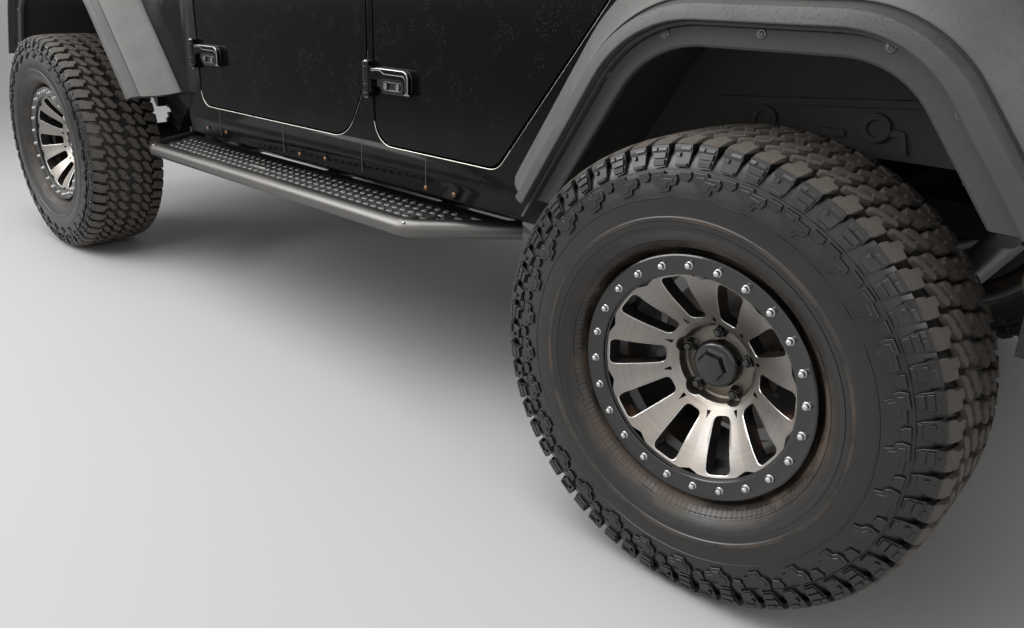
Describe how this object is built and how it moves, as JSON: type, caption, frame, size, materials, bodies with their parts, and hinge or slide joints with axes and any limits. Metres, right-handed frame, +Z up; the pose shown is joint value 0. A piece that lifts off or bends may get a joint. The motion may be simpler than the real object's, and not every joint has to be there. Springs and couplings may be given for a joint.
{
  "type": "off-road car",
  "caption": "Lifted four-door off-road car with wide fender flares, side steps and bolted-ring wheels; wheels roll and steer, doors, hood and tailgate open.",
  "frame": {"origin": "on the ground at the middle of the overall length and width", "axes": "+X forward, +Y to the vehicle's left, +Z up"},
  "size_m": [4.787, 2.1, 1.9405],
  "materials": {
    "alloy": "machined and tinted",
    "body_paint": "gloss black paint",
    "chassis_paint": "satin black",
    "flare_plastic": "grained grey plastic",
    "glass": "tinted",
    "iron": "worn iron",
    "lamp_clear": "clear lens",
    "lamp_red": "red lens",
    "liner_plastic": "matte black plastic",
    "soft": "black upholstery",
    "steel": "bare steel",
    "trim_plastic": "matte black plastic",
    "tyre": "wet dusty rubber"
  },
  "bodies": {
    "chassis": {"body_tub": "body_paint", "hardtop": "body_paint", "windshield_frame": "body_paint", "cab_glass": "glass", "front_fenders": "body_paint", "grille": "body_paint", "head_lamps": "lamp_clear", "tail_lamps": "lamp_red", "front_bumper": "chassis_paint", "rear_bumper": "chassis_paint", "fender_flares": "flare_plastic", "wheel_liners": "liner_plastic", "side_steps": "chassis_paint", "frame": "chassis_paint", "engine": "iron", "front_axle": "chassis_paint", "rear_axle": "chassis_paint", "coil_springs": "steel", "seats": "soft", "dashboard": "trim_plastic", "control_links": "chassis_paint", "dampers": "steel", "driveshafts": "iron", "exhaust": "steel", "fuel_tank": "trim_plastic", "steering_wheel": "soft", "console": "trim_plastic"},
    "knuckle_left": {"knuckle_left": "iron"},
    "knuckle_right": {"knuckle_right": "iron"},
    "tie_rod": {"tie_rod": "steel"},
    "hood": {"hood": "body_paint"},
    "tailgate": {"tailgate": "body_paint", "spare_tyre": "tyre", "spare_rim": "alloy"},
    "wheel_front_left": {"tyre_front_left": "tyre", "rim_front_left": "alloy", "brake_disc_front_left": "iron"},
    "wheel_front_right": {"tyre_front_right": "tyre", "rim_front_right": "alloy", "brake_disc_front_right": "iron"},
    "wheel_rear_left": {"tyre_rear_left": "tyre", "rim_rear_left": "alloy", "brake_disc_rear_left": "iron"},
    "wheel_rear_right": {"tyre_rear_right": "tyre", "rim_rear_right": "alloy", "brake_disc_rear_right": "iron"},
    "front_door_left": {"front_door_left": "body_paint", "front_door_glass_left": "glass"},
    "front_door_right": {"front_door_right": "body_paint", "front_door_glass_right": "glass"},
    "rear_door_left": {"rear_door_left": "body_paint", "rear_door_glass_left": "glass"},
    "rear_door_right": {"rear_door_right": "body_paint", "rear_door_glass_right": "glass"}
  },
  "joints": [
    {"name": "wheel_front_left_spin", "type": "hinge", "parent": "knuckle_left", "child": "wheel_front_left", "pos_m": [1.694, 0.855, 0.44], "axis": [0, 1, 0], "continuous": true},
    {"name": "wheel_front_right_spin", "type": "hinge", "parent": "knuckle_right", "child": "wheel_front_right", "pos_m": [1.694, -0.855, 0.44], "axis": [0, 1, 0], "continuous": true},
    {"name": "wheel_rear_left_spin", "type": "hinge", "parent": "chassis", "child": "wheel_rear_left", "pos_m": [-1.314, 0.855, 0.44], "axis": [0, 1, 0], "continuous": true},
    {"name": "wheel_rear_right_spin", "type": "hinge", "parent": "chassis", "child": "wheel_rear_right", "pos_m": [-1.314, -0.855, 0.44], "axis": [0, 1, 0], "continuous": true},
    {"name": "steer_left", "type": "hinge", "parent": "chassis", "child": "knuckle_left", "pos_m": [1.694, 0.735, 0.44], "axis": [0, 0, 1], "range_deg": [-28, 28]},
    {"name": "steer_right", "type": "hinge", "parent": "chassis", "child": "knuckle_right", "pos_m": [1.694, -0.735, 0.44], "axis": [0, 0, 1], "range_deg": [-28, 28]},
    {"name": "tie_rod_pivot", "type": "hinge", "parent": "knuckle_left", "child": "tie_rod", "pos_m": [1.834, 0.735, 0.389], "axis": [0, 0, 1], "range_deg": [-28, 28]},
    {"name": "front_door_left_hinge", "type": "hinge", "parent": "chassis", "child": "front_door_left", "pos_m": [0.746, 0.816, 0.865], "axis": [0, 0, -1], "range_deg": [0, 65]},
    {"name": "front_door_right_hinge", "type": "hinge", "parent": "chassis", "child": "front_door_right", "pos_m": [0.746, -0.816, 0.865], "axis": [0, 0, 1], "range_deg": [0, 65]},
    {"name": "rear_door_left_hinge", "type": "hinge", "parent": "chassis", "child": "rear_door_left", "pos_m": [-0.195, 0.816, 0.865], "axis": [0, 0, -1], "range_deg": [0, 65]},
    {"name": "rear_door_right_hinge", "type": "hinge", "parent": "chassis", "child": "rear_door_right", "pos_m": [-0.195, -0.816, 0.865], "axis": [0, 0, 1], "range_deg": [0, 65]},
    {"name": "tailgate_hinge", "type": "hinge", "parent": "chassis", "child": "tailgate", "pos_m": [-2.028, -0.578, 0.99], "axis": [0, 0, 1], "range_deg": [0, 90]},
    {"name": "hood_hinge", "type": "hinge", "parent": "chassis", "child": "hood", "pos_m": [0.822, 0, 1.32], "axis": [0, -1, 0], "range_deg": [0, 60]}
  ],
  "couplings": [
    {"joint": "steer_right", "follows": "steer_left", "ratio": 1},
    {"joint": "tie_rod_pivot", "follows": "steer_left", "ratio": -1}
  ]
}
